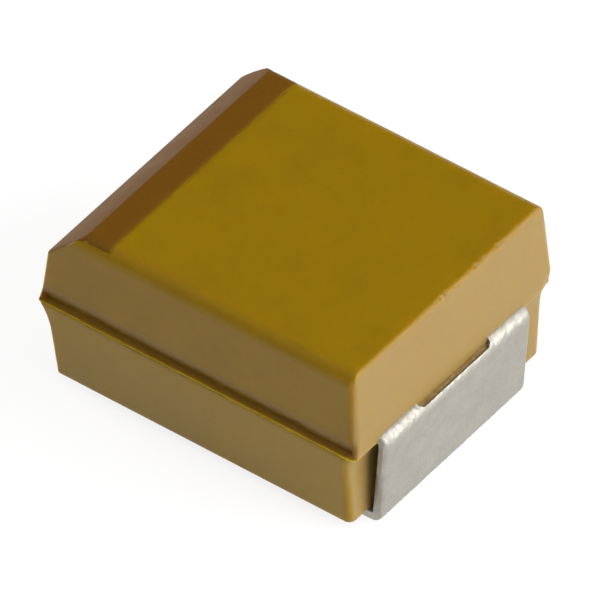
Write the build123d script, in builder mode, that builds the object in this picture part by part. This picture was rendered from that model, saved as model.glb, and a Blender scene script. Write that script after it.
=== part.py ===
from build123d import *
import os
from math import cos, radians, tan

# Tantalum chip capacitor in the 3528-21 case, with everything that the moulding holds.
# Millimetres and degrees. The origin is the centre of the footprint on the board.
# +X points to the cathode end, -X to the anode end with its bevel and band, +Z up.

# ---- Driving dimensions ----

overall_length = 3.65           # over both terminals

# moulded case
case_width = 2.81               # at the parting line
case_top = 1.90                 # top face above the board
parting_height = 0.975          # parting line above the board
parting_step = 0.008            # the upper half stands in by this much at the parting line
cathode_overhang = 0.02         # but its cathode end stands out by this much
upper_side_draft = 3.6          # long sides
lower_side_draft = 5.0
cathode_end_draft = 2.0         # upper half
anode_end_draft = 8.0           # upper half
lower_end_draft = 1.5           # both ends of the lower half
bevel_height = 0.345            # polarity bevel along the top of the anode end
bevel_angle = 42.0              # from the top face
flare_height = 0.33             # the lower ends curve out to the parting line over this height
corner_radius = 0.06            # upright corners and the top of the cathode end
top_edge_radius = 0.13          # long top edges
bottom_edge_radius = 0.03
crease_depth = 0.03             # crease above the parting line of the long sides
crease_height = 0.07
glue_pad_length = 1.20          # pad under the case for an adhesive dot
glue_pad_width = 1.80
glue_pad_depth = 0.05
glue_pad_radius = 0.10

# polarity band, over the bevel and the top beside it
band_width = 0.28               # on the top, from the bevel's edge
ink_thickness = 0.015           # flush with the case round it

# terminals, stamped and formed from one strip
strip_thickness = 0.10
terminal_width = 2.16
terminal_proud = 0.115          # riser beyond the case at the parting line
riser_lean = 5.5                # the risers lean in towards the board
bend_radius = 0.02              # inside of each bend
riser_gap = 0.03                # riser to the end wall, at the bottom of the case
foot_length = 0.80              # under the case, from the riser's outer face
slot_width = 0.95               # between the two tabs of a riser
slot_depth = 0.12               # the slot's bottom lies this far below the parting line
slot_radius = 0.12
tab_depth = 0.22                # the tabs join again this far inside the parting line

# lead frame inside the case
web_depth = 0.10                # full width strip behind the slot
weld_tab_width = 0.80
weld_tab_reach = 0.35           # anode strip beyond the web
shelf_width = 1.40
shelf_reach = 1.20              # under the element

# capacitor element
pellet_width = 1.90
pellet_height = 0.95
pellet_edge_radius = 0.05
pellet_end_radius = 0.03
oxide_coat = 0.03               # manganese dioxide
carbon_coat_thickness = 0.02
silver_coat_thickness = 0.03
coat_setback = 0.06             # each coat stops this far short of the one below, at the wire's end
element_gap = 0.05              # end of the coated element to the cathode strip
adhesive_thickness = 0.03
adhesive_margin = 0.10          # adhesive stays this far inside the shelf's edges
wire_diameter = 0.20
wire_free = 0.24                # from the weld tab to the pellet, washer included
wire_embedded = 0.60            # inside the pellet
weld_set_down = 0.02            # the wire is pressed this far into the strip
weld_length = 0.28              # wire over the strip
washer_diameter = 0.55
washer_thickness = 0.08


def cut_in(height, draft):
    """How far a wall at this draft leans in over this height."""
    return height * tan(radians(draft))


# ---- Derived places ----

case_length = overall_length - 2 * terminal_proud       # at the parting line
half_length = case_length / 2
half_width = case_width / 2
case_bottom = strip_thickness               # the case stands on the feet
upper_height = case_top - parting_height
lower_height = parting_height - case_bottom

# strip, measured to the middle of its thickness
strip_radius = bend_radius + strip_thickness / 2
strip_slant = strip_thickness / cos(radians(riser_lean))
riser_top_x = half_length + terminal_proud - strip_slant / 2
riser_foot_x = riser_top_x - cut_in(parting_height - strip_thickness / 2, riser_lean)
foot_end_x = riser_foot_x + strip_slant / 2 - foot_length
slot_bottom = parting_height - slot_depth
slot_end_x = half_length - tab_depth
web_end_x = slot_end_x - web_depth
drop_x = web_end_x - strip_radius           # the cathode strip turns down behind the web
strip_top = parting_height + strip_thickness / 2

# lower end walls, clear of the risers at their foot
wall_foot_x = riser_top_x - cut_in(lower_height, riser_lean) - strip_slant / 2 - riser_gap

# element
coats = oxide_coat + carbon_coat_thickness + silver_coat_thickness
wire_height = strip_top + wire_diameter / 2 - weld_set_down
weld_tab_end_x = web_end_x - weld_tab_reach
wire_end_x = -(weld_tab_end_x + weld_length)
pellet_face_x = wire_free - weld_tab_end_x
pellet_end_x = drop_x - strip_thickness / 2 - element_gap - coats
pellet_length = pellet_end_x - pellet_face_x
shelf_top = wire_height - pellet_height / 2 - coats - adhesive_thickness
shelf_height = shelf_top - strip_thickness / 2
shelf_end_x = drop_x - strip_thickness / 2 - shelf_reach

# ---- Case, in two halves that meet at the parting line ----

upper_half_length = half_length - parting_step
upper_half_width = half_width - parting_step
bevel_outer_x = cut_in(upper_height - bevel_height, anode_end_draft) - upper_half_length
bevel_inner_x = bevel_outer_x + bevel_height / tan(radians(bevel_angle))
bevel_foot = case_top - bevel_height
top_half_width = upper_half_width - cut_in(upper_height, upper_side_draft)
crease_top_width = upper_half_width - cut_in(crease_height, upper_side_draft)
cathode_foot_x = half_length + cathode_overhang

with BuildPart() as upper_half:
    # side view: drafted ends and the bevel
    with BuildSketch(Plane.XZ):
        with BuildLine():
            Polyline(
                (cathode_foot_x, parting_height),
                (cathode_foot_x - cut_in(upper_height, cathode_end_draft), case_top),
                (bevel_inner_x, case_top),
                (bevel_outer_x, bevel_foot),
                (-upper_half_length, parting_height),
                close=True,
            )
        make_face()
    extrude(amount=case_width, both=True)
    # end view: drafted long sides and rounded top edges
    with BuildSketch(Plane.YZ) as end_view:
        with BuildLine():
            Polyline(
                (upper_half_width, parting_height),
                (top_half_width, case_top),
                (-top_half_width, case_top),
                (-upper_half_width, parting_height),
                close=True,
            )
        make_face()
        fillet(end_view.vertices().group_by(Axis.Y)[-1], radius=top_edge_radius)
    extrude(amount=case_length, both=True, mode=Mode.INTERSECT)
    # the bevel stays crisp, the cathode end is rounded all round
    anode_corners = upper_half.edges().filter_by(
        lambda edge: edge.bounding_box().min.Z < parting_height + 0.001
        and edge.bounding_box().max.Z > parting_height + 0.001
        and edge.center().X < 0
    )
    fillet(anode_corners, radius=corner_radius)
    cathode_edges = upper_half.faces().sort_by(Axis.X)[-1].edges().filter_by(
        lambda edge: edge.bounding_box().max.Z > parting_height + 0.001
    )
    fillet(cathode_edges, radius=corner_radius)
    # crease along both long sides, just above the parting line
    with BuildSketch(Plane.YZ):
        with BuildLine():
            Polyline(
                (upper_half_width - crease_depth, parting_height),
                (crease_top_width, parting_height + crease_height),
                (case_width, parting_height + crease_height),
                (case_width, parting_height),
                close=True,
            )
        make_face()
        mirror(about=Plane.YZ)
    extrude(amount=case_length, both=True, mode=Mode.SUBTRACT)

wall_height = lower_height - flare_height
bottom_corner = (wall_foot_x, case_bottom)
flare_foot = (wall_foot_x + cut_in(wall_height, lower_end_draft), case_bottom + wall_height)
bottom_half_width = half_width - cut_in(lower_height, lower_side_draft)

with BuildPart() as lower_half:
    # side view: the end walls lean in to the bottom and flare out to the parting line
    with BuildSketch(Plane.XZ):
        with BuildLine():
            wall = Line(bottom_corner, flare_foot)
            TangentArc(flare_foot, (half_length, parting_height), tangent=wall % 1)
            mirror(about=Plane.YZ)
            Line((-wall_foot_x, case_bottom), bottom_corner)
            Line((-half_length, parting_height), (half_length, parting_height))
        make_face()
    extrude(amount=case_width, both=True)
    # end view: drafted long sides
    with BuildSketch(Plane.YZ):
        with BuildLine():
            Polyline(
                (half_width, parting_height),
                (bottom_half_width, case_bottom),
                (-bottom_half_width, case_bottom),
                (-half_width, parting_height),
                close=True,
            )
        make_face()
    extrude(amount=case_length, both=True, mode=Mode.INTERSECT)
    upright = lower_half.edges().filter_by(lambda edge: edge.bounding_box().size.Z > 0.01)
    fillet(upright, radius=corner_radius)
    fillet(lower_half.faces().sort_by(Axis.Z)[0].edges(), radius=bottom_edge_radius)
    with BuildSketch(Plane.XY.offset(case_bottom)):
        RectangleRounded(glue_pad_length, glue_pad_width, glue_pad_radius)
    extrude(amount=-glue_pad_depth)


# ---- Terminals ----

def outside_strip():
    """Foot, riser with its slot, upper bend, two tabs and web, at the +X end."""
    slot_height = case_top - slot_bottom
    with BuildPart() as strip:
        with BuildSketch(Plane.XZ):
            with BuildLine():
                FilletPolyline(
                    (foot_end_x, strip_thickness / 2),
                    (riser_foot_x, strip_thickness / 2),
                    (riser_top_x, parting_height),
                    (web_end_x, parting_height),
                    radius=strip_radius,
                )
            trace(line_width=strip_thickness)
        extrude(amount=terminal_width / 2, both=True)
        with BuildSketch(Plane.YZ.offset(slot_end_x)):
            with Locations((0, slot_bottom + slot_height / 2)):
                RectangleRounded(slot_width, slot_height, slot_radius)
        extrude(amount=half_length, mode=Mode.SUBTRACT)
    return strip.part


cathode_strip = outside_strip()
anode_strip = mirror(cathode_strip, about=Plane.YZ)

with BuildPart() as cathode_terminal:
    add(cathode_strip)
    # behind the web the strip drops and runs on as a shelf under the element
    with BuildSketch(Plane.XZ):
        with BuildLine():
            FilletPolyline(
                (slot_end_x, parting_height),
                (drop_x, parting_height),
                (drop_x, shelf_height),
                (shelf_end_x, shelf_height),
                radius=strip_radius,
            )
        trace(line_width=strip_thickness)
    extrude(amount=shelf_width / 2, both=True)

with BuildPart() as riser_wire:
    with BuildSketch(Plane.YZ.offset(wire_end_x)):
        with Locations((0, wire_height)):
            Circle(wire_diameter / 2)
    extrude(amount=pellet_face_x + wire_embedded - wire_end_x)

with BuildPart() as anode_terminal:
    add(anode_strip)
    # behind the web a narrow tab runs on straight, with the wire pressed into it
    with BuildSketch(Plane.XZ):
        with BuildLine():
            Line((-web_end_x, parting_height), (-weld_tab_end_x, parting_height))
        trace(line_width=strip_thickness)
    extrude(amount=weld_tab_width / 2, both=True)
    add(riser_wire.part, mode=Mode.SUBTRACT)


# ---- Element ----

def dipped_block(coat, setback):
    """The pellet grown by a coat on five sides, and short of its wire face by the setback."""
    length = pellet_length + coat - setback
    with BuildPart() as block:
        with BuildSketch(Plane.YZ.offset(pellet_face_x + setback)):
            with Locations((0, wire_height)):
                RectangleRounded(
                    pellet_width + 2 * coat,
                    pellet_height + 2 * coat,
                    pellet_edge_radius + coat,
                )
        extrude(amount=length)
        fillet(block.faces().sort_by(Axis.X)[-1].edges(), radius=pellet_end_radius + coat)
    return block.part


pellet_block = dipped_block(0, 0)
oxide_block = dipped_block(oxide_coat, coat_setback)
carbon_block = dipped_block(oxide_coat + carbon_coat_thickness, 2 * coat_setback)
silver_block = dipped_block(coats, 3 * coat_setback)

with BuildPart() as tantalum_pellet:
    add(pellet_block)
    add(riser_wire.part, mode=Mode.SUBTRACT)

with BuildPart() as manganese_dioxide_layer:
    add(oxide_block)
    add(pellet_block, mode=Mode.SUBTRACT)

with BuildPart() as carbon_coat:
    add(carbon_block)
    add(oxide_block, mode=Mode.SUBTRACT)

with BuildPart() as silver_coat:
    add(silver_block)
    add(carbon_block, mode=Mode.SUBTRACT)

with BuildPart() as insulating_washer:
    with BuildSketch(Plane.YZ.offset(pellet_face_x)):
        with Locations((0, wire_height)):
            Circle(washer_diameter / 2)
            Circle(wire_diameter / 2, mode=Mode.SUBTRACT)
    extrude(amount=-washer_thickness)

adhesive_start_x = shelf_end_x + adhesive_margin
adhesive_end_x = pellet_end_x - adhesive_margin

with BuildPart() as silver_adhesive:
    with BuildSketch(Plane.XY.offset(shelf_top)):
        with Locations(((adhesive_start_x + adhesive_end_x) / 2, 0)):
            Rectangle(adhesive_end_x - adhesive_start_x, shelf_width - 2 * adhesive_margin)
    extrude(amount=adhesive_thickness)

# ---- Polarity band, flush with the bevel and the top ----

with BuildPart() as polarity_band:
    with BuildSketch(Plane.XZ):
        with BuildLine():
            printed = Polyline(
                (bevel_inner_x + band_width, case_top),
                (bevel_inner_x, case_top),
                (bevel_outer_x, bevel_foot),
            )
            offset(printed, amount=ink_thickness, side=Side.LEFT, kind=Kind.INTERSECTION)
        make_face()
    extrude(amount=case_width, both=True)
    add(upper_half.part, mode=Mode.INTERSECT)

# ---- Case, moulded round all of it ----

with BuildPart() as moulded_case:
    add(upper_half.part)
    add(lower_half.part)
    for terminal in (cathode_terminal, anode_terminal):
        add(terminal.part, mode=Mode.SUBTRACT)
    for block in (pellet_block, oxide_block, carbon_block, silver_block):
        add(block, mode=Mode.SUBTRACT)
    for filled in (riser_wire, insulating_washer, silver_adhesive, polarity_band):
        add(filled.part, mode=Mode.SUBTRACT)

# ---- Files ----

moulded_case.part.label = "moulded_case"
polarity_band.part.label = "polarity_band"
cathode_terminal.part.label = "cathode_terminal"
anode_terminal.part.label = "anode_terminal"
tantalum_pellet.part.label = "tantalum_pellet"
manganese_dioxide_layer.part.label = "manganese_dioxide_layer"
carbon_coat.part.label = "carbon_coat"
silver_coat.part.label = "silver_coat"
riser_wire.part.label = "riser_wire"
insulating_washer.part.label = "insulating_washer"
silver_adhesive.part.label = "silver_adhesive"

os.makedirs("parts", exist_ok=True)
export_step(moulded_case.part, "parts/moulded_case.step")
export_step(polarity_band.part, "parts/polarity_band.step")
export_step(cathode_terminal.part, "parts/cathode_terminal.step")
export_step(anode_terminal.part, "parts/anode_terminal.step")
export_step(tantalum_pellet.part, "parts/tantalum_pellet.step")
export_step(manganese_dioxide_layer.part, "parts/manganese_dioxide_layer.step")
export_step(carbon_coat.part, "parts/carbon_coat.step")
export_step(silver_coat.part, "parts/silver_coat.step")
export_step(riser_wire.part, "parts/riser_wire.step")
export_step(insulating_washer.part, "parts/insulating_washer.step")
export_step(silver_adhesive.part, "parts/silver_adhesive.step")
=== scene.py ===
import math

import bmesh
import bpy
from mathutils import Matrix, Vector, noise


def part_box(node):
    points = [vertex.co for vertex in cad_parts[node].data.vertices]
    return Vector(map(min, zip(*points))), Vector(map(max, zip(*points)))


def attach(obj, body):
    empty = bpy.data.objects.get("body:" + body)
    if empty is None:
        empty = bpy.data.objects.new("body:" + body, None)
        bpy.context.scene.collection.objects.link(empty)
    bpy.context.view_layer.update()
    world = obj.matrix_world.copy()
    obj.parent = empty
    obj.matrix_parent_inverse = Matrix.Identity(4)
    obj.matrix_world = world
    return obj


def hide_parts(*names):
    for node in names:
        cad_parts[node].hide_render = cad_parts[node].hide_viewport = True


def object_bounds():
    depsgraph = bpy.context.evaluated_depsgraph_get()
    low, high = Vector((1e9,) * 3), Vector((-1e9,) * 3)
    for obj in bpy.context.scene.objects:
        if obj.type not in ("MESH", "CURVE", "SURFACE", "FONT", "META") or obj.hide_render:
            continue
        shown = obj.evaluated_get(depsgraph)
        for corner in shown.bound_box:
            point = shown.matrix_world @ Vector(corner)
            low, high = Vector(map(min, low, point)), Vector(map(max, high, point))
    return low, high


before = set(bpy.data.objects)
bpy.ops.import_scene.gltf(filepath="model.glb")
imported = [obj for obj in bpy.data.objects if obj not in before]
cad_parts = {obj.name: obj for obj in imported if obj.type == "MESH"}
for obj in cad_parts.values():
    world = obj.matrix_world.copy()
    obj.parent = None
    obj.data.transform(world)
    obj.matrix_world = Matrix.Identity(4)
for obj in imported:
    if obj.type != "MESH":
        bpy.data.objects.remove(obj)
cadLow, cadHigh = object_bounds()
mm = 0.001

scene = bpy.context.scene
scene.view_settings.view_transform = "Standard"
print("frame loaded:", sorted(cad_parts))


# sizes that the pieces share, read from the frame

caseLow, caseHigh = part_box("moulded_case")
cathodeLow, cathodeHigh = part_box("cathode_terminal")
stripThickness = 0.10 * mm
halfLength = -caseLow.x                           # to the lip at the parting line
halfWidth = caseHigh.y
caseTop = caseHigh.z
caseBottom = stripThickness                       # the case stands on the two feet
partingHeight = cathodeHigh.z - stripThickness / 2


def lean(height, degrees):
    return height * math.tan(math.radians(degrees))


def smooth(low, high, value):
    t = min(max((value - low) / (high - low), 0), 1)
    return t * t * (3 - 2 * t)


def steps(start, end, count):
    # evenly spaced values, the end left out
    return [start + (end - start) * i / count for i in range(count)]


def finishMesh(bm, name, sharpAngle=30):
    bmesh.ops.recalc_face_normals(bm, faces=bm.faces)
    mesh = bpy.data.meshes.new(name)
    bm.to_mesh(mesh)
    bm.free()
    for polygon in mesh.polygons:
        polygon.use_smooth = True
    mesh.set_sharp_from_angle(angle=math.radians(sharpAngle))
    piece = bpy.data.objects.new(name, mesh)
    scene.collection.objects.link(piece)
    return piece


def roundedPath(corners, radius, step):
    # straight runs joined by arcs, in the X-Z plane: place, heading and distance from the start
    headings = [math.atan2(b[1] - a[1], b[0] - a[0]) for a, b in zip(corners, corners[1:])]
    path = []
    place = Vector(corners[0])
    travelled = 0
    for k, heading in enumerate(headings):
        turn = 0
        if k + 1 < len(headings):
            turn = (headings[k + 1] - heading + math.pi) % (2 * math.pi) - math.pi
        ahead = Vector((math.cos(heading), math.sin(heading)))
        end = Vector(corners[k + 1]) - ahead * radius * math.tan(abs(turn) / 2)
        run = (end - place).length
        for t in steps(0, run, max(round(run / step), 1)):
            path.append((place + ahead * t, heading, travelled + t))
        travelled += run
        place = end
        if turn:
            middle = end + Vector((-ahead.y, ahead.x)) * math.copysign(radius, turn)
            arc = abs(turn) * radius
            for t in steps(0, arc, max(round(arc / step), 6)):
                swing = math.copysign(t / radius, turn)
                place = middle + Matrix.Rotation(swing, 2) @ (end - middle)
                path.append((place, heading + swing, travelled + t))
            place = middle + Matrix.Rotation(turn, 2) @ (end - middle)
            travelled += arc
    path.append((place, headings[-1], travelled))
    return path


# strip of the terminals, whose tabs and slot the case follows

stripShape = {
    "width": 2.04 * mm,
    "sideways": -0.046 * mm,          # the strip sits a little towards -Y
    "skew": 0.040 * mm,               # and its foot by this much more
    "proud": 0.115 * mm,              # riser beyond the lip of the case
    "riserLean": 4.8,
    "midRadius": 0.07 * mm,           # bends, to the middle of the strip
    "footLength": 0.80 * mm,
    "slotWidth": 1.00 * mm,
    "slotDepth": 0.032 * mm,          # below the parting line
    "slotRadius": 0.05 * mm,
    "tabDepth": 0.22 * mm,            # the tabs join again this far inside the lip
    "webDepth": 0.10 * mm,
    "weldTabWidth": 0.80 * mm,
    "weldTabReach": 0.35 * mm,
    "shelfWidth": 1.40 * mm,
    "edgeSoftening": 0.012 * mm,
    "softenAngle": 50,                # edges sharper than this are softened
    "creaseAngle": 40,                # and sharper than this are shaded as edges
    "pebble": 0.0085 * mm,            # roughness of the plating on the bends
    "pebbleSizes": (0.032 * mm, 0.015 * mm),
    "tabPebble": (0.84 * mm, 0.95 * mm),  # grows between these heights
    "footPebble": (0.24 * mm, 0.12 * mm),  # and between these, downwards
    "footShare": 0.6,                 # the lower bend is smoother than the upper
    "ripple": 0.0012 * mm,            # on the flats
    "rippleSize": 0.13 * mm,
    "rowStep": 0.016 * mm,
    "edgeRounding": (0.45, 0.80, 0.95, 1),  # share of the thickness, column by column from a long edge
    "tabCount": 34,
    "slotCount": 46,
}


# moulded case

caseShape = {
    "endShrink": 0.020 * mm,          # the moulded lip, in from the mould's size
    "sideShrink": 0.007 * mm,
    "sideStep": 0.016 * mm,           # the upper half's long sides stand in by this much
    "anodeStep": 0.012 * mm,
    "cathodeOverhang": 0.051 * mm,    # and its cathode end stands out
    "upperSideDraft": 2.3,
    "lowerSideDraft": 5.0,
    "cathodeDraft": 1.9,
    "anodeDraft": 8.6,
    "lowerEndDraft": 1.5,
    "anodeFootInset": 0.108 * mm,     # lower end walls at the bottom, in from the lip
    "cathodeFootInset": 0.078 * mm,
    "flareHeight": 0.33 * mm,
    "bevelHeight": 0.345 * mm,
    "bevelAngle": 42,
    "bevelCrown": 0.012 * mm,         # the bevel is very slightly domed
    "bevelRounding": 0.055 * mm,      # both long edges of the bevel
    "cathodeCorner": 0.075 * mm,      # upright corners
    "anodeCorner": 0.030 * mm,
    "sideRounding": 0.135 * mm,       # long top edges
    "cathodeRounding": 0.052 * mm,    # top edge of the cathode end
    "bottomRounding": 0.03 * mm,
    "lipRounding": 0.028 * mm,        # on the long sides
    "endLipRounding": 0.014 * mm,
    "sweepReach": 0.019 * mm,         # the upper walls curve out to meet the lip
    "sweepHeight": 0.18 * mm,
    "grooveDepth": 0.046 * mm,        # dark crease between the sweep and the lip
    "grooveMiddle": 0.045 * mm,       # its deepest level, above the parting line
    "grooveHeight": 0.22 * mm,
    "fillTop": 1.735 * mm,            # reach of the resin between the tabs, at the parting line
    "fillFoot": 1.797 * mm,           # and at the slot's bottom edge
    "fillLevel": 0.040 * mm,          # that edge, below the parting line
    "fillBlend": 0.008 * mm,
    "fillFade": (0.005 * mm, 0.06 * mm),  # the fill ends between these depths below its edge
    "fillBumps": 0.005 * mm,
    "inkProud": 0.003 * mm,           # the band stands this far above the resin
    "farSwell": 0.021 * mm,           # the far long side of the upper half swells above the lip
    "swellRun": (-1.5 * mm, 0.3 * mm),
    "lipWear": 0.026 * mm,            # and its bottom edge is worn at the cathode corner there
    "wearAlong": (1.50 * mm, 1.66 * mm),
    "wearAcross": (1.20 * mm, 1.34 * mm),
    "wearHeight": 0.15 * mm,
    "creaseWander": 0.15,
    "lipWander": 0.004 * mm,
    "chipDepth": 0.026 * mm,          # chips along the top edge of the cathode end
    "chipFade": 0.030 * mm,
    "chipReach": 0.12 * mm,
    "chipsFrom": (-0.55 * mm, 0.1 * mm),  # most of them lie between these two
    "chipsTo": (0.7 * mm, 1.1 * mm),
    "flashReach": 0.014 * mm,         # resin that crept out over the tabs
    "flashHeight": 0.13 * mm,
    "flashEdges": (0.03 * mm, 0.06 * mm),  # it ends softly beside the slot and past the strip
    "bottomRings": (0.30 * mm, 0.08 * mm),  # rings of faces that close the bottom
    "topRings": (0.015 * mm, 0.035 * mm, 0.08 * mm, 0.25 * mm),
    "footBand": 0.03 * mm,            # finer rows above and below the foot of the bevel
    "leastCorner": 0.006 * mm,
    "endCount": 190,
    "sideCount": 130,
    "cornerCount": 8,
}
gluePad = {
    "length": 1.20 * mm,
    "width": 1.80 * mm,
    "cornerRadius": 0.10 * mm,
    "softening": 0.008 * mm,
    "overlap": 0.02 * mm,             # into the case
    "cornerCount": 6,
}
resinTop = caseTop - caseShape["inkProud"]
bevelFoot = resinTop - caseShape["bevelHeight"]
lipLength = halfLength - caseShape["endShrink"]
lipWidth = halfWidth - caseShape["sideShrink"]
anodeLength = lipLength - caseShape["anodeStep"]
cathodeLength = lipLength + caseShape["cathodeOverhang"]
upperWidth = lipWidth - caseShape["sideStep"]
bevelOuter = anodeLength - lean(bevelFoot - partingHeight, caseShape["anodeDraft"])
bevelRun = caseShape["bevelHeight"] / math.tan(math.radians(caseShape["bevelAngle"]))
bevelInner = bevelOuter - bevelRun                # distance of the bevel's inner edge from the middle
anodeCorners = [(anodeLength, partingHeight), (bevelOuter, bevelFoot)]
for t in (0.2, 0.4, 0.6, 0.8):
    crown = 4 * t * (1 - t) * caseShape["bevelCrown"]
    slope = math.radians(caseShape["bevelAngle"])
    anodeCorners.append((bevelOuter - bevelRun * t + crown * math.sin(slope),
                         bevelFoot + caseShape["bevelHeight"] * t + crown * math.cos(slope)))
anodeCorners += [(bevelInner, resinTop), (0, resinTop)]
anodeProfile = [row[0] for row in roundedPath(anodeCorners, caseShape["bevelRounding"], 0.004 * mm)]


def anodeReach(z):
    # end wall and bevel of the upper half
    for low, high in zip(anodeProfile, anodeProfile[1:]):
        if high.y >= z - 1e-9:
            return low.x + (high.x - low.x) * min((z - low.y) / (high.y - low.y), 1)
    return bevelInner


def flareReach(z, footInset):
    # end wall of the lower half: a straight run, then an arc tangent to it that ends at the lip
    draft = math.radians(caseShape["lowerEndDraft"])
    wallTop = partingHeight - caseShape["flareHeight"]
    foot = lipLength - footInset
    if z < wallTop:
        return foot + (z - caseBottom) * math.tan(draft)
    start = Vector((foot + (wallTop - caseBottom) * math.tan(draft), wallTop))
    chord = Vector((lipLength, partingHeight)) - start
    outward = Vector((math.cos(draft), -math.sin(draft)))
    radius = chord.length_squared / (2 * chord.dot(outward))
    centre = start + outward * radius
    return centre.x - math.sqrt(radius ** 2 - (z - centre.y) ** 2)


def lowerWalls(z):
    # anode end, cathode end and long sides, measured from the middle
    c = caseShape
    side = lipWidth - lean(partingHeight - z, c["lowerSideDraft"])
    return flareReach(z, c["anodeFootInset"]), flareReach(z, c["cathodeFootInset"]), side


def upperWalls(z):
    up = z - partingHeight
    cathode = cathodeLength - lean(up, caseShape["cathodeDraft"])
    return anodeReach(z), cathode, upperWidth - lean(up, caseShape["upperSideDraft"])


def levelLine(anode, cathode, side, anodeRadius, cathodeRadius):
    # rounded rectangle, counter-clockwise from the cathode end: place and outward direction
    radii = (cathodeRadius, anodeRadius, anodeRadius, cathodeRadius)
    middles = (
        Vector((cathode - cathodeRadius, side - cathodeRadius)),
        Vector((anodeRadius - anode, side - anodeRadius)),
        Vector((anodeRadius - anode, anodeRadius - side)),
        Vector((cathode - cathodeRadius, cathodeRadius - side)),
    )
    counts = (caseShape["endCount"], caseShape["sideCount"]) * 2
    line = []
    for k, middle in enumerate(middles):
        start = math.radians(90 * k)
        out = Vector((math.cos(start), math.sin(start)))
        before = middles[k - 1] + out * radii[k - 1]
        after = middle + out * radii[k]
        line += [(before.lerp(after, t), out) for t in steps(0, 1, counts[k])]
        for angle in steps(start, start + math.pi / 2, caseShape["cornerCount"]):
            out = Vector((math.cos(angle), math.sin(angle)))
            line.append((middle + out * radii[k], out))
    return line


def caseLevels():
    # (height, half, inset of the ends, inset of the sides) from the bottom to the top
    c = caseShape
    levels = [(caseBottom, "lower", c["bottomRounding"] + extra, c["bottomRounding"] + extra)
              for extra in c["bottomRings"]]
    for angle in steps(0, math.pi / 2, 5):
        inset = c["bottomRounding"] * (1 - math.sin(angle))
        levels.append((caseBottom + c["bottomRounding"] * (1 - math.cos(angle)), "lower", inset, inset))
    wallTop = partingHeight - c["flareHeight"]
    heights = steps(caseBottom + c["bottomRounding"], wallTop, 9)
    heights += steps(wallTop, partingHeight - c["lipRounding"], 16)
    levels += [(z, "lower", 0, 0) for z in heights]
    for angle in steps(0, math.pi / 2, 8) + [math.pi / 2]:
        z = partingHeight - c["lipRounding"] * (1 - math.sin(angle))
        endInset = edgeInset(z, partingHeight, c["endLipRounding"])
        levels.append((z, "lower", endInset, edgeInset(z, partingHeight, c["lipRounding"])))
    heights = steps(partingHeight, partingHeight + c["grooveMiddle"], 4)
    heights += steps(partingHeight + c["grooveMiddle"], partingHeight + c["grooveHeight"], 16)
    heights += steps(partingHeight + c["grooveHeight"], bevelFoot - c["footBand"], 12)
    heights += steps(bevelFoot - c["footBand"], bevelFoot + c["footBand"], 12)
    heights += steps(bevelFoot + c["footBand"], resinTop - c["sideRounding"], 9)
    levels += [(z, "upper", 0, 0) for z in heights]
    for angle in steps(0, math.pi / 2, 12) + [math.pi / 2]:
        z = resinTop - c["sideRounding"] * (1 - math.sin(angle))
        levels.append((z, "upper", None, c["sideRounding"] * (1 - math.cos(angle))))
    for extra in c["topRings"]:
        levels.append((resinTop, "cap", extra, c["sideRounding"] + extra))
    return levels


def edgeInset(z, top, radius):
    # how far an upper edge rounded by this radius has come in at this height
    rise = z - (top - radius)
    return radius - math.sqrt(max(radius ** 2 - rise ** 2, 0)) if rise > 0 else 0


def creaseShift(x, out, up):
    # the concave sweep down to the lip and the groove above it, which leaves the corners alone
    c = caseShape
    if up >= c["grooveHeight"]:
        return 0
    anodeSweep = c["anodeStep"] if x < 0 else 0
    reach = c["sweepReach"] * max(-out.y, 0) + anodeSweep * abs(out.x)
    shift = reach * max(1 - up / c["sweepHeight"], 0) ** 2
    if up < c["grooveMiddle"]:
        share = smooth(0, c["grooveMiddle"], up)
    else:
        share = ((c["grooveHeight"] - up) / (c["grooveHeight"] - c["grooveMiddle"])) ** 2
    return shift - c["grooveDepth"] * share * smooth(0.75, 1, abs(out.y))


def tabCover(y):
    # 1 over the two tabs of a terminal, 0 beside them and over the slot between
    away = abs(y - stripShape["sideways"])
    inner, outer = stripShape["slotWidth"] / 2, stripShape["width"] / 2
    slotFade, stripFade = caseShape["flashEdges"]
    beside = 1 - smooth(outer, outer + stripFade, away)
    return smooth(inner - slotFade, inner + slotFade, away) * beside


def slotFill(y, z):
    # how far the resin reaches out between the tabs, and its share there
    c = caseShape
    down = partingHeight - z
    past = abs(y - stripShape["sideways"]) - stripShape["slotWidth"] / 2
    share = 1 - smooth(-c["fillBlend"], c["fillBlend"], past)
    share *= 1 - smooth(*c["fillFade"], down - c["fillLevel"])
    bumps = noise.noise(Vector((y / (0.05 * mm), z / (0.03 * mm), 6.6)))
    bumps += noise.noise(Vector((y / (0.02 * mm), z / (0.02 * mm), 2.6)))
    reach = c["fillTop"] + (c["fillFoot"] - c["fillTop"]) * min(down / c["fillLevel"], 1)
    return reach + c["fillBumps"] * bumps, share


def chipped(place):
    # small chips along the top edge of the cathode end, more of them towards its middle
    c = caseShape
    y = place.y
    edge = Vector((upperWalls(resinTop)[1], resinTop))
    away = (Vector((place.x, place.z)) - edge).length
    if place.x < 0 or away >= c["chipReach"] or abs(y) >= halfWidth - c["chipReach"]:
        return place
    worn = smooth(*c["chipsFrom"], y) * (1 - smooth(*c["chipsTo"], y))
    bite = noise.noise(Vector((y / (0.05 * mm), 0.2, 9.4)))
    bite += 0.6 * noise.noise(Vector((y / (0.018 * mm), 1.7, 2.8)))
    depth = c["chipDepth"] * max(bite - 0.10 + 0.25 * worn, 0) * (0.35 + 0.65 * worn)
    return place - Vector((0.75, 0, 0.65)) * depth * math.exp(-(away / c["chipFade"]) ** 2)


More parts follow.
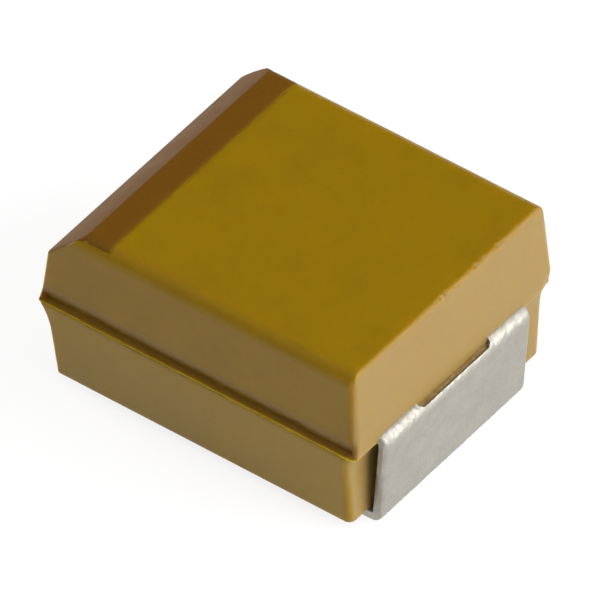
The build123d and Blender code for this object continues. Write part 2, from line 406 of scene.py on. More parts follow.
def casePoint(place, out, z, half):
    # a point of the plain shape, moved out or in by the crease, the wear and the crept resin
    c = caseShape
    x, y = place
    shift = 0
    up = z - partingHeight
    if half == "upper":
        wander = 1 + c["creaseWander"] * noise.noise(Vector((x / (0.25 * mm), y / (0.25 * mm), 3.1)))
        shift += wander * creaseShift(x, out, up)
        swell = max(out.y, 0) * smooth(*c["swellRun"], x) * (1 - 0.7 * up / (resinTop - partingHeight))
        corner = smooth(*c["wearAlong"], x) * smooth(*c["wearAcross"], y)
        shift += c["farSwell"] * swell - c["lipWear"] * corner * (1 - smooth(0, c["wearHeight"], up))
    if half == "lower" and abs(up) < 2 * c["lipRounding"]:
        wander = noise.noise(Vector((x / (0.12 * mm), y / (0.12 * mm), 7.7))) - 0.7
        shift += c["lipWander"] * wander * (1 - smooth(c["lipRounding"], 2 * c["lipRounding"], -up))
    if half == "upper" and abs(out.x) > 0.9 and up < c["flashHeight"]:
        ragged = noise.noise(Vector((y / (0.07 * mm), x / mm, 1.3)))
        ragged += 0.5 * noise.noise(Vector((y / (0.030 * mm), x / mm, 5.3)))
        fade = (1 - up / c["flashHeight"]) ** 2
        shift += c["flashReach"] * max(ragged + 0.25, 0) * tabCover(y) * fade
    if half == "lower" and abs(out.x) > 0.9:
        reach, share = slotFill(y, z)
        shift += max(reach - abs(x), 0) * share
    return chipped(Vector((x + out.x * shift, y + out.y * shift, z)))


def addGluePad(bm):
    # flat pad under the case
    g = gluePad
    radius = g["cornerRadius"]
    rings = []
    low = caseLow.z
    for z, inset in ((caseBottom + g["overlap"], 0), (low + g["softening"], 0), (low, g["softening"])):
        ring = []
        for k, (alongX, alongY) in enumerate(((1, 1), (-1, 1), (-1, -1), (1, -1))):
            middle = Vector(((g["length"] / 2 - radius) * alongX, (g["width"] / 2 - radius) * alongY))
            for angle in steps(90 * k, 90 * k + 90, g["cornerCount"]) + [90 * k + 90]:
                out = Vector((math.cos(math.radians(angle)), math.sin(math.radians(angle))))
                place = middle + out * (radius - inset)
                ring.append(bm.verts.new((place.x, place.y, z)))
        rings.append(ring)
    closeRings(bm, rings)


def closeRings(bm, rings):
    for lower, upper in zip(rings, rings[1:]):
        for i in range(len(lower)):
            j = (i + 1) % len(lower)
            bm.faces.new((lower[i], lower[j], upper[j], upper[i]))
    bm.faces.new(rings[0])
    bm.faces.new(rings[-1])


def buildCase():
    c = caseShape
    bm = bmesh.new()
    rings = []
    for z, half, endInset, sideInset in caseLevels():
        anode, cathode, side = lowerWalls(z) if half == "lower" else upperWalls(z)
        if endInset is None:
            anodeInset = 0
            cathodeInset = edgeInset(z, resinTop, c["cathodeRounding"])
        elif half == "cap":
            anodeInset = endInset
            cathodeInset = c["cathodeRounding"] + endInset
        else:
            anodeInset = cathodeInset = endInset
        radii = [max(c[key] - sideInset, c["leastCorner"]) for key in ("anodeCorner", "cathodeCorner")]
        line = levelLine(anode - anodeInset, cathode - cathodeInset, side - sideInset, *radii)
        rings.append([bm.verts.new(casePoint(place, out, z, half)) for place, out in line])
    closeRings(bm, rings)
    addGluePad(bm)
    return finishMesh(bm, "mouldedCaseShell")


caseShell = buildCase()
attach(caseShell, "root")
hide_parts("moulded_case")
print("case shell:", len(caseShell.data.polygons), "faces")


# brown band over the bevel and the top beside it, a skin that follows the shell

bandShape = {
    "topWidth": 0.274 * mm,           # on the top, from the bevel's edge
    "endMargin": 0.003 * mm,          # bare resin at both ends of the bevel's foot
    "bevelMargin": 0.042 * mm,        # of its inner edge
    "topMargin": 0.046 * mm,          # and of the stripe's inner edge
    "marginRun": 0.18 * mm,           # where the margin on the bevel begins to widen
    "footMargin": 0.006 * mm,         # along the foot of the bevel
    "edgeWander": 0.006 * mm,
    "cutStep": 0.02 * mm,
}


def cutBand(bm, place, direction, clear, start=-math.inf, stop=math.inf):
    # cuts what lies between two values of X along a plane
    near = 0.0005 * mm
    faces = [face for face in bm.faces if start - near < face.calc_center_median().x < stop + near]
    edges = {edge for face in faces for edge in face.edges}
    vertices = {vertex for face in faces for vertex in face.verts}
    bmesh.ops.bisect_plane(bm, geom=[*vertices, *edges, *faces], plane_co=place, plane_no=direction,
                           dist=near, clear_outer=clear)


def buildBand():
    b = bandShape
    inner = b["topWidth"] - bevelInner
    limit = upperWalls(resinTop)[2] - b["endMargin"]
    draft = math.radians(caseShape["upperSideDraft"])
    foot = bevelFoot + b["footMargin"]
    bm = bmesh.new()
    bm.from_mesh(caseShell.data)
    cutBand(bm, (inner, 0, 0), (1, 0, 0), True)
    cutBand(bm, (0, 0, foot), (0, 0, -1), True)
    # bare margin beside both ends of the ink, at these values of X
    margins = ((-math.inf, b["endMargin"]), (-bevelInner - b["marginRun"], b["endMargin"]),
               (-bevelInner, b["bevelMargin"]), (inner, b["topMargin"]))
    for x, margin in margins[1:3]:
        cutBand(bm, (x, 0, 0), (1, 0, 0), False)
    for (start, margin), (stop, nextMargin) in zip(margins, margins[1:]):
        growth = (nextMargin - margin) / (stop - start)
        for end in (1, -1):
            cutBand(bm, (stop, end * (limit + b["endMargin"] - nextMargin), resinTop),
                    (growth, end * math.cos(draft), math.sin(draft)), True, start, stop)
    for y in steps(-limit, limit, round(2 * limit / b["cutStep"]))[1:]:
        cutBand(bm, (0, y, 0), (0, 1, 0), False)
    for vertex in bm.verts:
        if vertex.is_boundary and vertex.co.x > inner - 0.001 * mm:
            y = vertex.co.y
            wander = noise.noise(Vector((y / (0.09 * mm), 0.5, 4.2)))
            wander += 0.6 * noise.noise(Vector((y / (0.03 * mm), 2.5, 4.2)))
            vertex.co.x += b["edgeWander"] * wander
    band = finishMesh(bm, "polarityBandInk")
    if sum((polygon.normal.z for polygon in band.data.polygons), 0) < 0:
        band.data.flip_normals()
    skin = band.modifiers.new("layer", "SOLIDIFY")
    skin.thickness = 2 * caseShape["inkProud"]
    skin.offset = 0
    evaluated = band.evaluated_get(bpy.context.evaluated_depsgraph_get())
    mesh = bpy.data.meshes.new_from_object(evaluated)
    band.modifiers.clear()
    band.data = mesh
    return band


bandInk = buildBand()
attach(bandInk, "root")
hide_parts("polarity_band")
print("band:", len(bandInk.data.polygons), "faces")


# terminals: one strip, stamped with a slot and formed round the case

def snapRow(path, axis, value, after):
    # moves the first row that passes this place onto it, and gives the row's number
    for i in range(after + 1, len(path)):
        before, here = path[i - 1][0][axis], path[i][0][axis]
        if before != here and (before - value) * (here - value) <= 0:
            t = (value - before) / (here - before)
            place = path[i - 1][0].lerp(path[i][0], t)
            heading = path[i - 1][1] + (path[i][1] - path[i - 1][1]) * t
            path[i] = (place, heading, path[i - 1][2] + (path[i][2] - path[i - 1][2]) * t)
            return i


stripSlant = stripThickness / math.cos(math.radians(stripShape["riserLean"]))
riserTop = halfLength + stripShape["proud"] - stripSlant / 2
riserFoot = riserTop - lean(partingHeight - stripThickness / 2, stripShape["riserLean"])
footEnd = riserFoot + stripSlant / 2 - stripShape["footLength"]
slotBottom = partingHeight - stripShape["slotDepth"]
slotEnd = halfLength - stripShape["tabDepth"]
webEnd = slotEnd - stripShape["webDepth"]
drop = webEnd - stripShape["midRadius"]
adhesiveLow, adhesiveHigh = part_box("silver_adhesive")
shelfHeight = adhesiveLow.z - stripThickness / 2
shelfEnd = adhesiveLow.x - 0.10 * mm
outsideRun = [(footEnd, stripThickness / 2), (riserFoot, stripThickness / 2), (riserTop, partingHeight)]


def slotEdge(row, path, slotRow, joinRow, webRow, innerHalf):
    # half the slot's width at this row, with round corners at its bottom, then the run inside
    half = stripShape["slotWidth"] / 2
    radius = stripShape["slotRadius"]
    if row > joinRow:
        return half + (innerHalf - half) * min((row - joinRow) / (webRow - joinRow), 1)
    down = path[row][2] - path[slotRow][2]
    if down >= radius:
        return half
    return half - radius + math.sqrt(radius ** 2 - (radius - max(down, 0)) ** 2)


def buildTerminal(name, direction, insideRun, innerWidth, seed):
    s = stripShape
    path = roundedPath(outsideRun + insideRun, s["midRadius"], s["rowStep"])
    slotRow = snapRow(path, 1, slotBottom, 0)
    joinRow = snapRow(path, 0, slotEnd, slotRow)
    webRow = snapRow(path, 0, webEnd, joinRow)
    columns = 2 * s["tabCount"] + s["slotCount"]

    def present(row, column):
        if not (0 <= row < len(path) - 1 and 0 <= column < columns):
            return False
        if s["tabCount"] <= column < s["tabCount"] + s["slotCount"]:
            return not slotRow <= row < joinRow
        return row < webRow

    def across(row, column):
        edge = slotEdge(row, path, slotRow, joinRow, webRow, innerWidth / 2)
        if column < s["tabCount"]:
            return s["sideways"] - s["width"] / 2 + (s["width"] / 2 - edge) * column / s["tabCount"]
        column -= s["tabCount"]
        if column <= s["slotCount"]:
            return s["sideways"] + edge * (2 * column / s["slotCount"] - 1)
        return s["sideways"] + edge + (s["width"] / 2 - edge) * (column - s["slotCount"]) / s["tabCount"]

    bm = bmesh.new()
    made = {}

    def corner(row, column, sideways):
        if (row, column, sideways) not in made:
            place, heading = path[row][:2]
            right = Vector((math.sin(heading), -math.cos(heading)))
            thinner = s["edgeRounding"][min(column, columns - column, 3)]
            place = place + right * sideways * thinner * stripThickness / 2
            skew = s["skew"] * min(max(1 - place.y / partingHeight, 0), 1) if row < joinRow else 0
            spot = (direction * place.x, across(row, column) - skew, place.y)
            made[row, column, sideways] = bm.verts.new(spot)
        return made[row, column, sideways]

    for row in range(len(path) - 1):
        for column in range(columns):
            if not present(row, column):
                continue
            square = ((row, column), (row, column + 1), (row + 1, column + 1), (row + 1, column))
            for sideways in (1, -1):
                bm.faces.new([corner(r, c, sideways) for r, c in square])
            beside = ((row - 1, column), (row, column + 1), (row + 1, column), (row, column - 1))
            for k, (r, c) in enumerate(beside):
                if not present(r, c):
                    ends = (square[k], square[(k + 1) % 4])
                    rim = [corner(*ends[0], 1), corner(*ends[1], 1),
                           corner(*ends[1], -1), corner(*ends[0], -1)]
                    bm.faces.new(rim).material_index = 1  # bare cut edge, toned brown as painted shade and a painted reflection of the resin
    rough = finishMesh(bm, name + "Blank", s["creaseAngle"])
    soften = rough.modifiers.new("softEdges", "BEVEL")
    soften.width = s["edgeSoftening"]
    soften.segments = 2
    soften.limit_method = "ANGLE"
    soften.angle_limit = math.radians(s["softenAngle"])
    soften.use_clamp_overlap = True
    evaluated = rough.evaluated_get(bpy.context.evaluated_depsgraph_get())
    mesh = bpy.data.meshes.new_from_object(evaluated)
    bpy.data.objects.remove(rough)
    roughenPlating(mesh, seed)
    mesh.name = name
    mesh.set_sharp_from_angle(angle=math.radians(s["creaseAngle"]))
    piece = bpy.data.objects.new(name, mesh)
    scene.collection.objects.link(piece)
    return piece


def roughenPlating(mesh, seed):
    s = stripShape
    coarse, fine = s["pebbleSizes"]
    normals = [vertex.normal.copy() for vertex in mesh.vertices]
    for vertex, normal in zip(mesh.vertices, normals):
        place = vertex.co
        reach = abs(place.x)
        if reach < slotEnd - 0.02 * mm and place.z > caseBottom + stripThickness / 2:
            continue                              # inside the case
        upper = smooth(*s["tabPebble"], place.z)
        lower = s["footShare"] * smooth(*s["footPebble"], place.z)
        lower *= smooth(riserFoot - stripThickness, riserFoot, reach)
        grain = noise.noise(Vector(place / coarse) + Vector((seed, 0, 0)))
        grain += 0.5 * noise.noise(Vector(place / fine) + Vector((0, seed, 0)))
        swell = noise.noise(Vector(place / s["rippleSize"]) + Vector((0, 0, seed)))
        shift = s["pebble"] * max(upper, lower) * grain + s["ripple"] * (swell + 0.4 * grain)
        place = place + normal * shift
        place.x = min(max(place.x, cadLow.x), cadHigh.x)
        place.y = min(max(place.y, cathodeLow.y), cathodeHigh.y)
        place.z = min(max(place.z, 0), cathodeHigh.z)
        vertex.co = place


cathodeInside = [(drop, partingHeight), (drop, shelfHeight), (shelfEnd, shelfHeight)]
anodeInside = [(webEnd - stripShape["weldTabReach"], partingHeight)]
cathodeStrip = buildTerminal("cathodeStrip", 1, cathodeInside, stripShape["shelfWidth"], 4.7)
anodeStrip = buildTerminal("anodeStrip", -1, anodeInside, stripShape["weldTabWidth"], 11.3)
for piece, node in ((cathodeStrip, "cathode_terminal"), (anodeStrip, "anode_terminal")):
    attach(piece, "root")
    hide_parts(node)
    print(piece.name + ":", len(piece.data.polygons), "faces")


# shader node groups that several finishes share

def makeGroup(name, inputs, outputs):
    group = bpy.data.node_groups.new(name, "ShaderNodeTree")
    for label, kind, value in inputs:
        socket = group.interface.new_socket(label, in_out="INPUT", socket_type="NodeSocket" + kind)
        if value is not None:
            socket.default_value = value
    for label, kind in outputs:
        group.interface.new_socket(label, in_out="OUTPUT", socket_type="NodeSocket" + kind)
    return group, group.nodes.new("NodeGroupInput"), group.nodes.new("NodeGroupOutput")


def addNode(tree, kind, **settings):
    node = tree.nodes.new("ShaderNode" + kind)
    for key, value in settings.items():
        setattr(node, key, value)
    return node


def addMath(tree, operation, first, second):
    # first and second are sockets or numbers
    node = addNode(tree, "Math", operation=operation)
    for socket, value in zip(node.inputs, (first, second)):
        if isinstance(value, (int, float)):
            socket.default_value = value
        else:
            tree.links.new(value, socket)
    return node.outputs[0]


def addBlend(tree, factor, first, second):
    # colours mixed by a mask
    node = addNode(tree, "Mix", data_type="RGBA")
    for label, value in (("Factor_Float", factor), ("A_Color", first), ("B_Color", second)):
        socket = next(s for s in node.inputs if s.identifier == label)
        if isinstance(value, (int, float, tuple)):
            socket.default_value = value
        else:
            tree.links.new(value, socket)
    return next(s for s in node.outputs if s.identifier == "Result_Color")


def addStep(tree, value, low, high):
    # 0 at low, 1 at high, smooth between, either way round
    node = addNode(tree, "MapRange", interpolation_type="SMOOTHSTEP")
    node.inputs["From Min"].default_value = min(low, high)
    node.inputs["From Max"].default_value = max(low, high)
    node.inputs["To Min"].default_value = 0 if low < high else 1
    node.inputs["To Max"].default_value = 1 if low < high else 0
    tree.links.new(value, node.inputs["Value"])
    return node.outputs["Result"]


def addLevel(tree, height, level, span):
    # such a step in a height in millimetres, where the span is measured from a level in metres
    return addStep(tree, height, level / mm + span[0], level / mm + span[1])


def splitAxes(tree, vector):
    node = addNode(tree, "SeparateXYZ")
    tree.links.new(vector, node.inputs[0])
    return node.outputs


def makeSurfacePlace():
    # object coordinates in millimetres, each axis with its own stretch
    inputs = [("Stretch", "Vector", (1, 1, 1))]
    group, start, end = makeGroup("placeInMillimetres", inputs, [("Place", "Vector")])
    coordinates = addNode(group, "TexCoord")
    scale = addNode(group, "VectorMath", operation="SCALE")
    scale.inputs["Scale"].default_value = 1 / mm
    stretch = addNode(group, "VectorMath", operation="MULTIPLY")
    group.links.new(coordinates.outputs["Object"], scale.inputs[0])
    group.links.new(scale.outputs[0], stretch.inputs[0])
    group.links.new(start.outputs["Stretch"], stretch.inputs[1])
    group.links.new(stretch.outputs[0], end.inputs["Place"])
    return group


def makeCloudyTone(surfacePlace):
    # two tones in soft patches, with fine speckle over them
    inputs = [
        ("Tone", "Color", (1, 1, 1, 1)),
        ("Other Tone", "Color", (1, 1, 1, 1)),
        ("Patches", "Float", 2),
        ("Speckle", "Float", 30),
        ("Speckle Share", "Float", 0.3),
    ]
    group, start, end = makeGroup("cloudyTone", inputs, [("Color", "Color"), ("Mask", "Float")])
    place = addNode(group, "Group", node_tree=surfacePlace)
    masks = []
    for label, detail in (("Patches", 4), ("Speckle", 2)):
        cloud = addNode(group, "TexNoise")
        cloud.inputs["Detail"].default_value = detail
        cloud.inputs["Roughness"].default_value = 0.6
        group.links.new(place.outputs["Place"], cloud.inputs["Vector"])
        group.links.new(start.outputs[label], cloud.inputs["Scale"])
        spread = addNode(group, "MapRange")       # spreads the noise's middle over the whole mask
        spread.inputs["From Min"].default_value = 0.32
        spread.inputs["From Max"].default_value = 0.68
        group.links.new(cloud.outputs["Fac"], spread.inputs["Value"])
        masks.append(spread.outputs["Result"])
    share = start.outputs["Speckle Share"]
    fine = addMath(group, "MULTIPLY", masks[1], share)
    coarse = addMath(group, "MULTIPLY", masks[0], addMath(group, "SUBTRACT", 1.0, share))
    mask = addMath(group, "ADD", coarse, fine)
    color = addBlend(group, mask, start.outputs["Tone"], start.outputs["Other Tone"])
    group.links.new(color, end.inputs["Color"])
    group.links.new(mask, end.inputs["Mask"])
    return group


def makeGrain(surfacePlace):
    # relief height from a coarse and a fine noise
    inputs = [("Coarse", "Float", 12), ("Fine", "Float", 60), ("Fine Share", "Float", 0.5)]
    group, start, end = makeGroup("grainRelief", inputs, [("Height", "Float")])
    place = addNode(group, "Group", node_tree=surfacePlace)
    heights = []
    for label in ("Coarse", "Fine"):
        cloud = addNode(group, "TexNoise")
        cloud.inputs["Detail"].default_value = 3
        group.links.new(place.outputs["Place"], cloud.inputs["Vector"])
        group.links.new(start.outputs[label], cloud.inputs["Scale"])
        heights.append(cloud.outputs["Fac"])
    fine = addMath(group, "MULTIPLY", heights[1], start.outputs["Fine Share"])
    group.links.new(addMath(group, "ADD", heights[0], fine), end.inputs["Height"])
    return group


surfacePlace = makeSurfacePlace()
cloudyTone = makeCloudyTone(surfacePlace)
grainRelief = makeGrain(surfacePlace)
print("node groups:", [group.name for group in bpy.data.node_groups])


def newMaterial(name, settings):
    material = bpy.data.materials.new(name)
    material.use_nodes = True
    shader = material.node_tree.nodes["Principled BSDF"]
    for label, value in settings.items():
        shader.inputs[label].default_value = value
    return material, material.node_tree, shader


def addFinish(tree, shader, finish):
    # tone, roughness and relief of one finish, and gives its colour
    cloud = addNode(tree, "Group", node_tree=cloudyTone)
    cloud.inputs["Tone"].default_value = (*finish["tone"], 1)
    cloud.inputs["Other Tone"].default_value = (*finish["otherTone"], 1)
    cloud.inputs["Patches"].default_value = finish["patches"]
    for label, value in zip(("Speckle", "Speckle Share"), finish["speckle"]):
        cloud.inputs[label].default_value = value
    tree.links.new(cloud.outputs["Color"], shader.inputs["Base Color"])
    spread = addNode(tree, "MapRange")
    spread.inputs["To Min"].default_value, spread.inputs["To Max"].default_value = finish["rough"]
    tree.links.new(cloud.outputs["Mask"], spread.inputs["Value"])
    tree.links.new(spread.outputs["Result"], shader.inputs["Roughness"])
    grain = addNode(tree, "Group", node_tree=grainRelief)
    for label, value in zip(("Coarse", "Fine", "Fine Share"), finish["grain"]):
        grain.inputs[label].default_value = value
    bump = addNode(tree, "Bump")
    bump.inputs["Distance"].default_value = finish["depth"]
    tree.links.new(grain.outputs["Height"], bump.inputs["Height"])
    tree.links.new(bump.outputs["Normal"], shader.inputs["Normal"])
    return cloud.outputs["Color"]


# moulded epoxy

resinFinish = {
    "tone": (0.285, 0.164, 0.0010),
    "otherTone": (0.250, 0.144, 0.0008),
    "endSheenTone": (0.290, 0.188, 0.056),  # painted sheen: the cathode end, where the key lamp falls, is toned paler
    "lowerBounceTone": (0.300, 0.178, 0.004),  # painted light: the lower half, whose walls face a little down towards the white floor, is toned lighter
    # painted shade in the crease above the lip and on the wall just above it
    "grooveShadeTone": (0.155, 0.073, 0.0006),
    "grooveShadeShare": 0.9,
    "patches": 2.2,
    "speckle": (38, 0.35),            # fineness and share
    "rough": (0.34, 0.42),
    "grain": (9, 48, 0.5),            # coarse, fine and the fine one's share
    "depth": 0.0022 * mm,
    "specular": 0.23,
    "scatter": 0.65,
    "scatterReach": 0.15 * mm,
    "scatterColors": (1.0, 0.72, 0.10),
    # these are in millimetres
    "endSheenFrom": (1.695, 1.715),
    "endSheenTop": (0.006, -0.034),        # the painted sheen's upper limit, from the top face
    "grooveShadeFoot": (-0.036, -0.002),   # the crease's painted shade, from the parting line
    "grooveShadeTop": (0.250, 0.070),
    "lowerBounceFrom": (0.01, -0.03),
    # and these are shares of a unit normal
    "endSheenTurn": (0.76, 0.96),
    "flankTurn": (0.97, 0.85),
    # streaks that make the borders of the painted sheen and the painted shade ragged
    "streaks": 14,
    "streakStretch": (0.3, 1, 0.3),
    "streakShare": 0.5,
    "endSheenRagged": 0.22,
    "grooveShadeRagged": 0.10,
}


def makeResin():
    f = resinFinish
    settings = {
        "Specular IOR Level": f["specular"],
        "Subsurface Weight": f["scatter"],
        "Subsurface Radius": f["scatterColors"],
        "Subsurface Scale": f["scatterReach"],
    }
    material, tree, shader = newMaterial("goldEpoxy", settings)
    color = addFinish(tree, shader, f)
    place = addNode(tree, "Group", node_tree=surfacePlace)
    axes = splitAxes(tree, place.outputs["Place"])
    alongX, z = axes[0], axes[2]
    normalX = splitAxes(tree, addNode(tree, "TexCoord").outputs["Normal"])[0]
    streaks = addNode(tree, "TexNoise")
    streaks.inputs["Scale"].default_value = f["streaks"]
    stretched = addNode(tree, "Group", node_tree=surfacePlace)
    stretched.inputs["Stretch"].default_value = f["streakStretch"]
    tree.links.new(stretched.outputs["Place"], streaks.inputs["Vector"])
    ragged = addMath(tree, "SUBTRACT", streaks.outputs["Fac"], 0.5)
    ragged = addMath(tree, "MULTIPLY", ragged, f["streakShare"])
    # painted sheen: resin facing +X towards the key lamp, and all resin at the far cathode end, gets a
    # paler tone
    end = addStep(tree, addMath(tree, "ADD", normalX, ragged), *f["endSheenTurn"])
    end = addMath(tree, "MAXIMUM", end, addStep(tree, alongX, *f["endSheenFrom"]))
    # the painted sheen's upper boundary is ragged, in short streaks
    streaked = addMath(tree, "ADD", z, addMath(tree, "MULTIPLY", ragged, f["endSheenRagged"]))
    end = addMath(tree, "MULTIPLY", end, addLevel(tree, streaked, resinTop, f["endSheenTop"]))
    # painted shade: the crease is darkened, and the darkening fades upwards
    height = addMath(tree, "ADD", z, addMath(tree, "MULTIPLY", ragged, f["grooveShadeRagged"]))
    grooveShade = addMath(tree, "MULTIPLY", addLevel(tree, height, partingHeight, f["grooveShadeFoot"]),
                     addLevel(tree, height, partingHeight, f["grooveShadeTop"]))
    flank = addStep(tree, addMath(tree, "ABSOLUTE", normalX, 0), *f["flankTurn"])
    grooveShade = addMath(tree, "MULTIPLY", addMath(tree, "MULTIPLY", grooveShade, f["grooveShadeShare"]), flank)
    # painted light: the lower half gets a lighter tone for the light of the floor
    lower = addLevel(tree, z, partingHeight, f["lowerBounceFrom"])
    for mask, tone in ((lower, "lowerBounceTone"), (end, "endSheenTone"), (grooveShade, "grooveShadeTone")):
        color = addBlend(tree, mask, color, (*f[tone], 1))
    tree.links.new(color, shader.inputs["Base Color"])
    return material


# brown print

inkFinish = {
    "tone": (0.147, 0.061, 0.0024),
    "otherTone": (0.128, 0.052, 0.0018),
    "thinTone": (0.185, 0.088, 0.0018),  # the print thins out along its inner edge
    "thinRun": (-0.05 * mm, 0.02 * mm),
    "patches": 3.5,
    "speckle": (45, 0.45),
    "rough": (0.48, 0.62),
    "grain": (12, 55, 0.6),
    "depth": 0.0022 * mm,
    "specular": 0.11,
}


def makeInk():
    f = inkFinish
    material, tree, shader = newMaterial("brownInk", {"Specular IOR Level": f["specular"]})
    color = addFinish(tree, shader, f)
    place = addNode(tree, "Group", node_tree=surfacePlace)
    inner = bandShape["topWidth"] - bevelInner
    alongX = splitAxes(tree, place.outputs["Place"])[0]
    thin = addStep(tree, alongX, *((inner + edge) / mm for edge in f["thinRun"]))
    tree.links.new(addBlend(tree, thin, color, (*f["thinTone"], 1)), shader.inputs["Base Color"])
    return material


# matt tin, and the bare cut edge of the strip, whose brown tone is painted shade and a painted
# reflection of the resin

tinFinish = {
    "tone": (0.45, 0.43, 0.375),
    "otherTone": (0.37, 0.355, 0.32),
    "metallic": 1.0,
    "patches": 6,
    "speckle": (40, 0.35),
    "rough": (0.50, 0.68),
    "grain": (22, 70, 0.5),
    "depth": 0.004 * mm,
}
cutEdgeShadeFinish = {
    # painted shade and a painted reflection of the brown resin
    "tone": (0.30, 0.22, 0.11),
    "otherTone": (0.44, 0.38, 0.27),
    "metallic": 1.0,
    "patches": 7,
    "speckle": (30, 0.4),
    "rough": (0.4, 0.6),
    "grain": (15, 60, 0.6),
    "depth": 0.005 * mm,
}


# the sealed element, which only shows with the case taken away

elementFinishes = {
    "tantalum_pellet": {
        "tone": (0.10, 0.10, 0.115), "otherTone": (0.045, 0.05, 0.06), "metallic": 0.6,
        "rough": (0.6, 0.8), "patches": 6, "grain": (25, 80, 0.5), "depth": 0.012 * mm,
    },
    "manganese_dioxide_layer": {
        "tone": (0.012, 0.011, 0.010), "otherTone": (0.022, 0.019, 0.017), "metallic": 0.0,
        "rough": (0.75, 0.9), "patches": 4, "grain": (18, 60, 0.5), "depth": 0.010 * mm,
    },
    "carbon_coat": {
        "tone": (0.020, 0.020, 0.021), "otherTone": (0.035, 0.035, 0.036), "metallic": 0.2,
        "rough": (0.45, 0.65), "patches": 3, "grain": (12, 50, 0.5), "depth": 0.006 * mm,
    },
    "silver_coat": {
        "tone": (0.52, 0.51, 0.48), "otherTone": (0.40, 0.39, 0.36), "metallic": 0.8,
        "rough": (0.38, 0.58), "patches": 3, "grain": (16, 70, 0.5), "depth": 0.006 * mm,
    },
    "silver_adhesive": {
        "tone": (0.48, 0.47, 0.44), "otherTone": (0.36, 0.35, 0.32), "metallic": 0.8,
        "rough": (0.4, 0.6), "patches": 5, "grain": (20, 60, 0.5), "depth": 0.010 * mm,
    },
    "riser_wire": {
        "tone": (0.26, 0.26, 0.28), "otherTone": (0.20, 0.20, 0.22), "metallic": 1.0,
        "rough": (0.28, 0.42), "patches": 8, "grain": (30, 90, 0.5), "depth": 0.003 * mm,
    },
    "insulating_washer": {
        "tone": (0.80, 0.80, 0.77), "otherTone": (0.70, 0.70, 0.66), "metallic": 0.0,
        "rough": (0.4, 0.55), "patches": 4, "grain": (14, 50, 0.5), "depth": 0.003 * mm,
    },
}
elementSpeckle = (40, 0.4)


def makePlainFinish(name, finish):
    material, tree, shader = newMaterial(name, {"Metallic": finish["metallic"]})
    addFinish(tree, shader, finish)
    return material


caseShell.data.materials.append(makeResin())
bandInk.data.materials.append(makeInk())
tin = makePlainFinish("mattTin", tinFinish)
shadedCutEdge = makePlainFinish("cutStripEdgeShaded", cutEdgeShadeFinish)
for piece in (cathodeStrip, anodeStrip):
    piece.data.materials.clear()
    piece.data.materials.append(tin)
    piece.data.materials.append(shadedCutEdge)
for node, finish in elementFinishes.items():
    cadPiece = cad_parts[node]
    material = makePlainFinish(node + "Finish", {**finish, "speckle": elementSpeckle})
    if not cadPiece.material_slots:
        cadPiece.data.materials.append(material)
    for materialSlot in cadPiece.material_slots:
        materialSlot.material = material
print("materials assigned")


# white floor, a white wall round it and a dim sky

surroundings = {
    "floorReach": 0.3,
    "floorSides": 64,
    "floorDrop": 0.002 * mm,          # keeps the floor clear of the feet
    "wallHeight": 0.04,
    "glow": 0.84,                     # for the camera, in mirrors and through glass
    "seenTone": 0.19,                 # shaded share of the white, for the same rays
    "bounceTone": 0.87,               # what the object receives from the white
    "sky": 0.035,
    "skyWhiteBelow": 0.13,            # mirrors and glass see the white sky up to here, 1 is overhead
}


def seenDirectly(tree, share=1.0):
    # 1 for the camera, and this share for what mirrors and glass show
    path = addNode(tree, "LightPath")
    glossy, glass = path.outputs["Is Glossy Ray"], path.outputs["Is Transmission Ray"]
    mirrored = addMath(tree, "MULTIPLY", addMath(tree, "MAXIMUM", glossy, glass), share)
    return addMath(tree, "MAXIMUM", path.outputs["Is Camera Ray"], mirrored)


def makeBackdropWhite():
    material = bpy.data.materials.new("backdropWhite")
    material.use_nodes = True
    tree = material.node_tree
    tree.nodes.clear()
    output = addNode(tree, "OutputMaterial")
    diffuse = addNode(tree, "BsdfDiffuse")
    glow = addNode(tree, "Emission")
    total = addNode(tree, "AddShader")
    seen = seenDirectly(tree)
    bounce, shaded = ((*[surroundings[key]] * 3, 1) for key in ("bounceTone", "seenTone"))
    tree.links.new(addBlend(tree, seen, bounce, shaded), diffuse.inputs["Color"])
    tree.links.new(addMath(tree, "MULTIPLY", seen, surroundings["glow"]), glow.inputs["Strength"])
    tree.links.new(diffuse.outputs[0], total.inputs[0])
    tree.links.new(glow.outputs[0], total.inputs[1])
    tree.links.new(total.outputs[0], output.inputs["Surface"])
    return material


def buildBackdrop():
    reach, sides = surroundings["floorReach"], surroundings["floorSides"]
    bm = bmesh.new()
    rings = []
    for z in (-surroundings["floorDrop"], surroundings["wallHeight"]):
        rings.append([bm.verts.new((reach * math.cos(a), reach * math.sin(a), z))
                      for a in steps(0, 2 * math.pi, sides)])
    bm.faces.new(rings[0])
    for i in range(sides):
        j = (i + 1) % sides
        bm.faces.new((rings[0][i], rings[0][j], rings[1][j], rings[1][i]))
    backdrop = finishMesh(bm, "backdrop")
    backdrop.data.materials.append(makeBackdropWhite())


def buildSky():
    world = bpy.data.worlds.new("studio")
    scene.world = world
    world.use_nodes = True
    tree = world.node_tree
    background = tree.nodes["Background"]
    background.inputs["Color"].default_value = (1, 1, 1, 1)
    height = splitAxes(tree, addNode(tree, "TexCoord").outputs["Generated"])[2]
    # white where it is seen, dark as a lamp
    low = addMath(tree, "LESS_THAN", height, surroundings["skyWhiteBelow"])
    strength = addMath(tree, "MAXIMUM", seenDirectly(tree, low), surroundings["sky"])
    tree.links.new(strength, background.inputs["Strength"])


buildBackdrop()
buildSky()


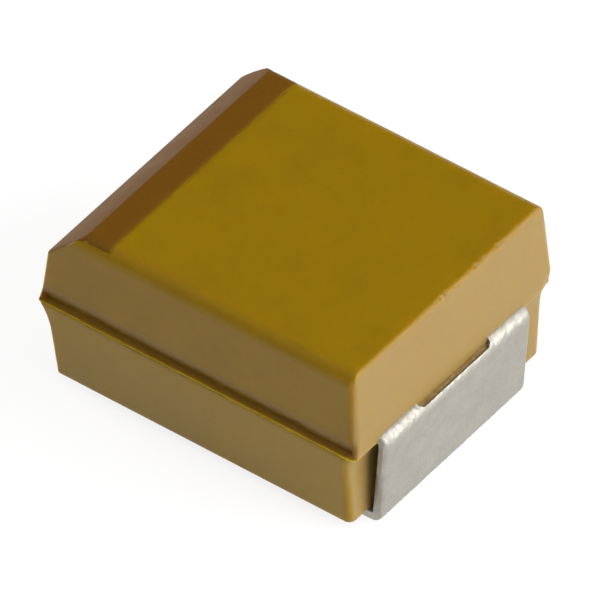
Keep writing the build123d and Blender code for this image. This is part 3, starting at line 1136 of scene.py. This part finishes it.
# soft boxes: direction from the object, share of full light and edge length in metres

softBoxes = {
    "keyBox": {"towards": (0.82, 0.29, 0.46), "light": 1.27, "size": 0.07},
    "sideBox": {"towards": (-0.95, -0.05, 0.25), "light": 0.78, "size": 0.05},
    "frontBox": {"towards": (0.20, -0.30, 0.93), "light": 0.25, "size": 0.05},
}
boxDistance = 0.08


def addSoftBox(name, settings):
    lamp = bpy.data.lights.new(name, "AREA")
    lamp.shape = "SQUARE"
    lamp.size = settings["size"]
    # watts that light a facing white surface fully at this distance
    lamp.energy = settings["light"] * 4 * math.pi * boxDistance ** 2
    box = bpy.data.objects.new(name, lamp)
    towards = Vector(settings["towards"]).normalized()
    box.location = towards * boxDistance
    box.rotation_euler = towards.to_track_quat("Z", "Y").to_euler()
    box.visible_camera = False
    scene.collection.objects.link(box)


for name, settings in softBoxes.items():
    addSoftBox(name, settings)


# camera, far away with a long lens

cameraView = {
    "azimuth": 39.69,                 # from the -Y side towards +X
    "elevation": 43.74,
    "roll": -2.60,
    "distance": 0.19,
    "lens": 1328.8,
    "sensor": 36,
    "clip": (0.01, 10),
    "aimRight": 0.0213 * mm,
    "aimUp": 0.6013 * mm,
}


def addCamera():
    v = cameraView
    azimuth, elevation, roll = (math.radians(v[key]) for key in ("azimuth", "elevation", "roll"))
    back = Vector((math.sin(azimuth) * math.cos(elevation), -math.cos(azimuth) * math.cos(elevation),
                   math.sin(elevation)))
    level = Vector((math.cos(azimuth), math.sin(azimuth), 0))
    upright = back.cross(level)
    right = level * math.cos(roll) + upright * math.sin(roll)
    up = upright * math.cos(roll) - level * math.sin(roll)
    data = bpy.data.cameras.new("camera")
    data.lens = v["lens"]
    data.sensor_width = v["sensor"]
    data.clip_start, data.clip_end = v["clip"]
    camera = bpy.data.objects.new("camera", data)
    camera.matrix_world = Matrix((right, up, back)).transposed().to_4x4()
    camera.location = right * v["aimRight"] + up * v["aimUp"] + back * v["distance"]
    scene.collection.objects.link(camera)
    scene.camera = camera


addCamera()
print("floor, lamps and camera ready")
